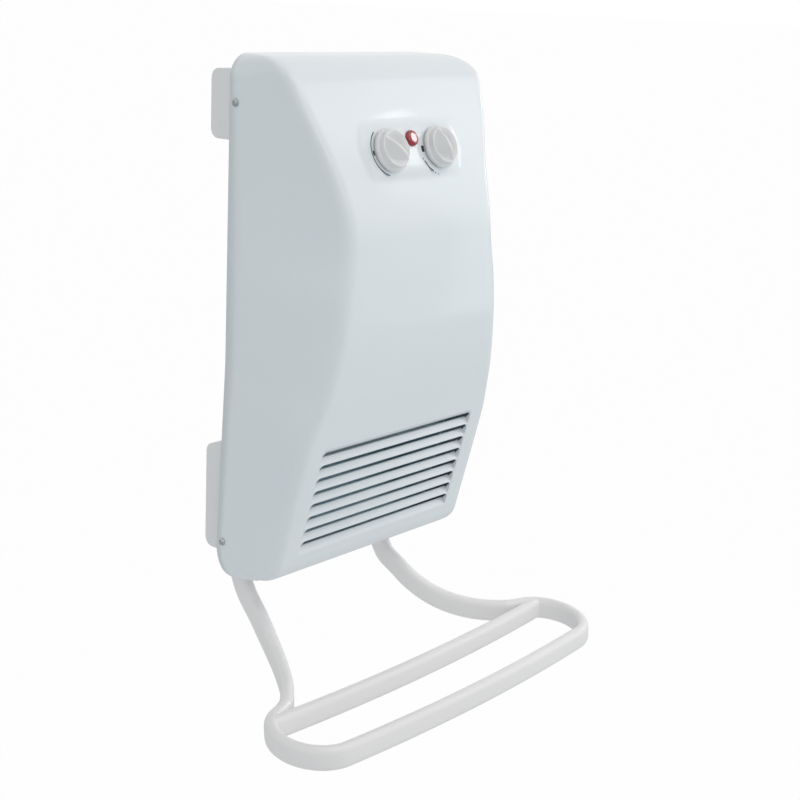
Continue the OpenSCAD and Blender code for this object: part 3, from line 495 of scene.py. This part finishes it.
def chassis_foot():
    """The chassis plate's lower flange, curved forwards along the cover's rounded back edge."""
    steps, across = 14, 12
    points = []
    for k in range(-1, steps + 1):
        z = -BODY_LOW + BACK_ROUND * (1 - math.cos(math.pi / 2 * (1 - max(0, k) / steps)))
        half, y = back_w(z) - FOOT_GAP, -back_at(z) - FOOT_INSET
        lift = FOOT_LAP if k < 0 else FOOT_INSET * k / steps
        for j in range(across + 1):
            points.append((half * (2 * j / across - 1), y, z - dip(z, y) + lift))
    foot = mesh_piece("chassis_foot", points, grid_faces(steps + 2, across + 1), chassis_steel)
    finish_modifiers(foot, SOLIDIFY={"thickness": FOOT_SKIN * MM, "offset": 0.0})


chassis_foot()


# ---------------------------------------------------------------- knobs, lamp and printed marks
def knob(name, x, grip, node, body):
    """A skirt, a round body and a lens-shaped fin with an arched crest: one height field over a disc."""
    turn = math.radians(grip)
    sides, rings, rim = 120, 52, KNOB_R - 3.6
    skirt = [(KNOB_R - 1.2, 0.8), (KNOB_R - 1.2, 1.9), (KNOB_R - 0.15, 2.1), (KNOB_R, 2.6), (KNOB_R, 4.0),
             (KNOB_R - 0.5, 4.8), (KNOB_R - 1.8, 5.2), (KNOB_R - 2.4, 5.5), (KNOB_R - 2.7, 6.2),
             (KNOB_R - 3.1, 9.2), (KNOB_R - 3.3, 9.8), (rim, KNOB_RIM_H)]
    place = panel_matrix(x)

    def top(px, py):
        """Height of the dished face, or of the fin where it stands above it."""
        r = math.hypot(px, py)
        dish = KNOB_RIM_H - DISH_DEPTH * ramp(rim - 0.8 - r, 0, DISH_REACH)
        dish -= 0.5 * ramp(rim - 0.6 - r, 0, 0.8)
        half_fin = rim + 0.2
        u = (px * math.cos(turn) + py * math.sin(turn)) / half_fin
        v = abs(-px * math.sin(turn) + py * math.cos(turn))
        if abs(u) >= 1:
            return dish
        along, span = u * half_fin, 1 - u * u
        crest = math.sqrt(FIN_ARC ** 2 - along ** 2) - FIN_ARC_DROP
        reach = max(0.3, math.sqrt(FIN_SIDE ** 2 - along ** 2) - FIN_SIDE_OFF)
        slope = min(1.0, max(0.0, (v - FIN_CREST * span) / reach))
        return max(dish, dish + (crest - dish) * (1 - slope))

    points = [tuple(place @ Vector((px, py, h))) for r, h in skirt for px, py in circle(r, sides)]
    for r in np.linspace(rim - 0.5, 0.3, rings):
        points += [tuple(place @ Vector((px, py, top(px, py)))) for px, py in circle(r, sides)]
    rows = len(skirt) + rings
    faces = grid_faces(rows, sides, wrap=True)
    faces.append(tuple((rows - 1) * sides + k for k in range(sides)))
    faces.append(tuple(range(sides))[::-1])
    piece = mesh_piece(name, points, faces, knob_white, body, angle=42)
    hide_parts(node)


knob("knob_left", -KNOB_X, GRIP_LEFT, "thermostat_knob", "thermostat_dial")
knob("knob_right", KNOB_X, GRIP_RIGHT, "selector_knob", "selector_dial")


def lamp():
    """The lens: a stem through the panel and a dome that is nearly flat on top."""
    profile = [(LAMP_STEM - 0.1, -9.0), (LAMP_STEM, 0.04), (LAMP_R, 0.05), (LAMP_R, LAMP_RIM_H)]
    for r in LAMP_R * np.linspace(0.985, 0.02, 30):
        profile.append((r, LAMP_RIM_H + LAMP_DOME * (1 - (r / LAMP_R) ** LAMP_POWER)))
    lens = lathe("lamp_dome", profile, panel_matrix(0, LAMP_UP), lamp_red, 48)
    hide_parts("lamp_lens")


lamp()


def arc_mark(points, faces, x, r0, r1, start, stop, steps=40):
    """A printed arc round a knob, between two radii and two directions in degrees."""
    base, lift = len(points), 0.06
    for k in range(steps + 1):
        a = math.radians(start + (stop - start) * k / steps)
        for r in (r0, r1):
            points.append(tuple(panel_matrix(x) @ Vector((r * math.cos(a), r * math.sin(a), lift))))
    for k in range(steps):
        q = base + 2 * k
        faces.append((q, q + 1, q + 3, q + 2))


def marks():
    """Arcs and dots beside the knobs, and a dark spot at the left of each."""
    points, faces = [], []
    arc_mark(points, faces, -KNOB_X, KNOB_R + 2.2, KNOB_R + 3.2, 128, 254)
    arc_mark(points, faces, KNOB_X, KNOB_R + 4.6, KNOB_R + 6.0, 206, 238)
    for a in (201, 243, 252):
        arc_mark(points, faces, KNOB_X, KNOB_R + 5.0, KNOB_R + 6.2, a - 1.4, a + 1.4, steps=4)
    line = mesh_piece("print_lines", points, faces, print_ink)
    points, faces = [], []
    arc_mark(points, faces, -KNOB_X, KNOB_R - 0.4, KNOB_R + 1.5, 176, 188, steps=8)
    arc_mark(points, faces, KNOB_X, KNOB_R - 0.2, KNOB_R + 3.2, 173, 188, steps=8)
    mesh_piece("print_spots", points, faces, ink_black)
    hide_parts("dial_marks")


marks()


# ---------------------------------------------------------------- side screws
def side_screws():
    """Two screws in each side wall, seated just outside the wall all round the head."""
    head = [(1.9, -8.5), (1.9, -0.1), (3.55, -0.1), (SCREW_R, 0.35), (3.3, 1.0), (2.5, 1.6), (1.7, 1.85),
            (1.25, 1.0), (0.1, 0.75)]
    for k, z in enumerate(SCREW_LEVELS):
        x = SCREW_SEAT + max(wall_x(SCREW_Y + SCREW_R * math.cos(a), z + SCREW_R * math.sin(a))
                             for a in np.linspace(0, 2 * math.pi, 9))
        for s in (-1, 1):
            place = Matrix.Translation((s * x, SCREW_Y, z)) @ Matrix.Rotation(s * math.pi / 2, 4, "Y")
            screw = lathe(f"side_screw_{'ru' if s > 0 else 'lu'}_{k}", head, place, screw_steel, 32)
    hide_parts("cover_screws")


side_screws()


# ---------------------------------------------------------------- towel rail
def plan(x, y):
    """A point of the loop's slightly tilted plane, from its place in plan."""
    return np.array([x, -y, -LOOP_Z + (LOOP_Y - y) * LOOP_RISE])


SEAM = plan(SEAM_X, SEAM_Y)
LOOP_UP = unit([0, LOOP_RISE, 1])
BOW_R = (LOOP_HALF ** 2 + LOOP_BOW ** 2) / (2 * LOOP_BOW) + LOOP_R
BOW_Y = BOW_R - LOOP_Y - LOOP_R - LOOP_BOW
BOW_A = math.atan(LOOP_HALF / (BOW_Y + LOOP_Y))
TURN_STEPS, BOW_STEPS, ARM_STEPS = 36, 16, 5
TWIST_START, TWIST_SPAN, SEAM_TILT = 8, 5, 0.08


def loop_line():
    """Middle line of the loop, from the right seam round the bowed front to the left seam."""
    half = [SEAM, plan(168, 147.4), plan(175, 150.2)]
    turn = math.pi / 2 + math.radians(LOOP_END) - BOW_A
    for k in range(TURN_STEPS + 1):
        a = math.radians(LOOP_END) - k * turn / TURN_STEPS
        half.append(plan(LOOP_HALF + LOOP_R * math.cos(a), LOOP_Y - LOOP_R * math.sin(a)))
    for k in range(1, BOW_STEPS + 1):
        a = BOW_A * (1 - k / BOW_STEPS)
        half.append(plan(BOW_R * math.sin(a), BOW_R * math.cos(a) - BOW_Y))
    return half + [p * MIRROR for p in half[-2::-1]]


def stadium(height, depth, steps=10):
    """Flat-oval section as (along the wide axis, across it)."""
    r, flat = depth / 2, (height - depth) / 2
    out = []
    for k in range(steps + 1):
        a = math.pi * k / steps
        out.append((flat + r * math.sin(a), r * math.cos(a)))
    for k in range(steps + 1):
        a = math.pi + math.pi * k / steps
        out.append((-flat + r * math.sin(a), r * math.cos(a)))
    return out


def sweep(name, line, wide, section, ends=(None, None)):
    """A tube swept along a line; wide gives its wide direction at each point, ends the mitres' normals."""
    line = [np.asarray(p, float) for p in line]
    n, points = len(section), []
    for k, c in enumerate(line):
        t = unit(line[min(len(line) - 1, k + 1)] - line[max(0, k - 1)])
        w = np.asarray(wide(k), float)
        u = unit(w - (w @ t) * t)
        b = np.cross(t, u)
        ring = [c + u * p + b * q for p, q in section]
        cut = ends[0] if k == 0 else ends[1] if k == len(line) - 1 else None
        if cut is not None:
            ring = [p + t * (((c - p) @ cut) / (t @ cut)) for p in ring]
        points += ring
    faces = grid_faces(len(line), n, wrap=True, flip=True)
    faces += [tuple(range(n)), tuple((len(line) - 1) * n + k for k in range(n))[::-1]]
    return mesh_piece(name, points, faces, rail_paint, angle=SHARP)


def arm_line():
    """Middle line of the right arm: straight in the bracket, bent forwards, then out to the seam."""
    head = [[ARM_X, ARM_Y, z] for z in (-199, -212, -226, -239.7)]
    bow = [[ARM_X, ARM_Y - ARM_BEND_R * (1 - math.cos(a)), -ARM_HOLD - ARM_BEND_R * math.sin(a)]
           for a in np.radians((8.6, 17.2, 25.8, 34.4, 43.0))]
    tail = [[101.3, -46.2, -301], [106.2, -63.7, -314.6], [113.6, -82.4, -325.5], [123.4, -100.6, -332.9],
            [136.2, -119, -337.6], [149.6, -133.2, -339.7], list(SEAM)]
    return catmull(head + bow + tail, ARM_STEPS)


def arm_wide(line):
    """Wide axis of an arm at each point: edgewise at the bracket, upright at the seam."""
    out = []
    for k in range(len(line)):
        t = unit(line[min(len(line) - 1, k + 1)] - line[max(0, k - 1)])
        f = unit([0, t[1], t[2]])
        s = min(1.0, max(0.0, (k / ARM_STEPS - TWIST_START) / TWIST_SPAN))
        out.append(unit((1 - s) * np.array([0, f[2], -f[1]]) + s * np.array([0, SEAM_TILT, 1])))
    return out


def weld(name, centre, wide, across, cut, section):
    """A dressed weld bead round a tube's section, lying in the plane of the mitre."""
    along = unit(np.cross(wide, across))
    ring, sides, points = [], 8, []
    for p, q in section:
        flat = wide * p + across * q
        spot = centre + flat - along * ((flat @ cut) / (along @ cut))
        ring.append((spot, unit(flat)))
    for k, (spot, out) in enumerate(ring):
        size = 0.75 + 0.2 * math.sin(2.3 * k) + 0.15 * math.sin(5.1 * k + 1)
        for i in range(sides):
            a = 2 * math.pi * i / sides
            rise, reach = WELD_RISE * size * math.cos(a), WELD_REACH * size * math.sin(a)
            points.append(spot + out * rise + unit(cut) * reach)
    faces = grid_faces(len(ring) + 1, sides, wrap=True)
    faces = [tuple(i % (len(ring) * sides) for i in face) for face in faces]
    bead = mesh_piece(name, points, faces, rail_paint)
    finish_modifiers(bead, SUBSURF={"levels": 1, "render_levels": 1})


def rail():
    """Two arms, the loop that they are welded to at mitred seams, and the bar behind its front."""
    section = stadium(TUBE_W, TUBE_T)
    line = loop_line()
    arm = arm_line()
    joint = unit(unit(line[1] - line[0]) + unit(arm[-1] - arm[-2]))
    loop = sweep("rail_loop_tube", line, lambda k: LOOP_UP, section, ends=(joint, joint * MIRROR))
    wides = arm_wide(arm)
    right = sweep("rail_arm_r", arm, lambda k: wides[k], section, ends=(None, joint))
    left = sweep("rail_arm_l", [p * MIRROR for p in arm], lambda k: wides[k] * MIRROR, section,
                 ends=(None, joint * MIRROR))
    bar_line = [plan(BAR_R * math.sin(a), BAR_R * math.cos(a) - BAR_R + BAR_Y)
                for a in np.radians(np.linspace(-BAR_HALF_ANGLE, BAR_HALF_ANGLE, 40))]
    bar = sweep("rail_bar", bar_line, lambda k: LOOP_UP, stadium(TUBE_W - BAR_SLACK, TUBE_T))
    seam_along, seam_wide = unit(line[1] - line[0]), unit(LOOP_UP)
    for side in (1, -1):
        turn = np.array([side, 1, 1])
        weld("rail_weld_" + ("r" if side > 0 else "l"), SEAM * turn, seam_wide * turn,
             np.cross(seam_along * turn, seam_wide * turn), joint * turn, section)
    for piece, node in ((loop, "rail_loop"), (right, "rail_arm_right"), (left, "rail_arm_left"),
                        (bar, "rail_cross_bar")):
        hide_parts(node)


rail()


# ---------------------------------------------------------------- floor, light and camera; lengths in metres
def stage_material(name, colour, glow):
    """A dull finish with a white glow that only the camera sees."""
    n = Nodes(name)
    n.settle(Base_Color=(*colour, 1), Roughness=0.9, Specular_IOR_Level=0.1)
    seen = n.add("ShaderNodeLightPath")
    white = n.add("ShaderNodeEmission", Strength=1.0)
    mix = n.add("ShaderNodeMixShader")
    amount = n.add("ShaderNodeMath")
    amount.operation = "MULTIPLY"
    amount.inputs[1].default_value = glow
    n.join(seen.outputs["Is Camera Ray"], amount.inputs[0])
    n.join(amount.outputs[0], mix.inputs["Fac"])
    n.join(n.shader.outputs["BSDF"], mix.inputs[1])
    n.join(white.outputs["Emission"], mix.inputs[2])
    out = n.tree.nodes["Material Output"]
    n.join(mix.outputs["Shader"], out.inputs["Surface"])
    return n.mat


def floor():
    """The room's floor, well below the heater."""
    half, level = 300.0, -1.25
    corners = [(x * half, y * half, level) for x, y in ((-1, -1), (1, -1), (1, 1), (-1, 1))]
    mesh = bpy.data.meshes.new("room_floor")
    mesh.from_pydata(corners, [], [(0, 1, 2, 3)])
    obj = bpy.data.objects.new("room_floor", mesh)
    bpy.context.scene.collection.objects.link(obj)
    mesh.materials.append(stage_material("floor_white", (0.88, 0.88, 0.88), 0.97))


floor()


def area_light(name, place, target, size, power, colour=(1, 1, 1)):
    """A rectangular light that is aimed at a target."""
    data = bpy.data.lights.new(name, "AREA")
    data.shape = "RECTANGLE"
    data.size, data.size_y = size
    data.energy, data.color = power, colour
    lamp_obj = bpy.data.objects.new(name, data)
    lamp_obj.location = place
    lamp_obj.rotation_euler = (Vector(target) - Vector(place)).to_track_quat("-Z", "Y").to_euler()
    bpy.context.scene.collection.objects.link(lamp_obj)


area_light("key_above", (0.5, -1.5, 1.9), (0, -0.1, 0), (1.8, 1.4), 9.4, (1.0, 0.91, 0.84))
area_light("fill_right", (2.0, -1.4, 0.4), (0, -0.1, 0), (0.5, 2.2), 4.4, (0.93, 0.97, 1.0))
area_light("soft_box", (1.68, -1.27, 1.0), (0, -0.127, 0.158), (0.09, 0.19), 0.36, (0.96, 0.98, 1.0))
area_light("strip_right", (2.1, -0.45, 0.55), (0.1, -0.12, 0.15), (0.06, 1.2), 3.0)
area_light("strip_front", (-0.15, -1.95, 0.85), (0, -0.1, 0.1), (0.12, 0.5), 1.3)

WORLD_LOBES = (("X", 1.0, 0.98), ("X", -1.0, 0.72), ("Y", 1.0, 0.40), ("Y", -1.0, 0.45), ("Z", 1.0, 0.16))


def soft_world():
    """Light from the sides, the front, the back and above; the camera and reflections see plain white."""
    world = bpy.data.worlds.new("soft_room")
    bpy.context.scene.world = world
    world.use_nodes = True
    made, link = world.node_tree.nodes, world.node_tree.links.new
    light = made["Background"]
    light.inputs["Color"].default_value = (0.94, 0.985, 1.0, 1)
    aim = made.new("ShaderNodeSeparateXYZ")
    link(made.new("ShaderNodeTexCoord").outputs["Generated"], aim.inputs[0])
    total = None
    for axis, side, power in WORLD_LOBES:
        lobe = made.new("ShaderNodeMath")
        lobe.operation, lobe.use_clamp = "MULTIPLY", True
        lobe.inputs[1].default_value = side
        link(aim.outputs[axis], lobe.inputs[0])
        add = made.new("ShaderNodeMath")
        add.operation = "MULTIPLY_ADD"
        add.inputs[1].default_value = power
        add.inputs[2].default_value = 0.0
        link(lobe.outputs[0], add.inputs[0])
        if total is not None:
            link(total, add.inputs[2])
        total = add.outputs[0]
    link(total, light.inputs["Strength"])
    white = made.new("ShaderNodeBackground")
    white.inputs["Color"].default_value = (1, 1, 1, 1)
    white.inputs["Strength"].default_value = 1.0
    path, seen = made.new("ShaderNodeLightPath"), made.new("ShaderNodeMath")
    seen.operation = "MAXIMUM"
    link(path.outputs["Is Camera Ray"], seen.inputs[0])
    link(path.outputs["Is Glossy Ray"], seen.inputs[1])
    mix = made.new("ShaderNodeMixShader")
    link(seen.outputs[0], mix.inputs["Fac"])
    link(light.outputs["Background"], mix.inputs[1])
    link(white.outputs["Background"], mix.inputs[2])
    link(mix.outputs["Shader"], made["World Output"].inputs["Surface"])


soft_world()


def set_camera():
    """The camera; its axes, place and lens were solved from the photograph."""
    data = bpy.data.cameras.new("camera")
    data.sensor_width, data.lens = 36.0, 69.75
    data.clip_start, data.clip_end = 0.01, 100.0
    right_axis = Vector((0.64808655, -0.76021498, 0.04535431))
    up_axis = Vector((0.16956588, 0.20210197, 0.96457359))
    view_axis = Vector((0.74244948, 0.61743662, -0.25988609))
    turn = Matrix((right_axis, up_axis, -view_axis)).transposed()
    camera = bpy.data.objects.new("camera", data)
    camera.matrix_world = Matrix.Translation((-1.07947, -1.02248, 0.29095)) @ turn.to_4x4()
    bpy.context.scene.collection.objects.link(camera)
    bpy.context.scene.camera = camera


set_camera()
bpy.context.scene.view_settings.view_transform = "Standard"
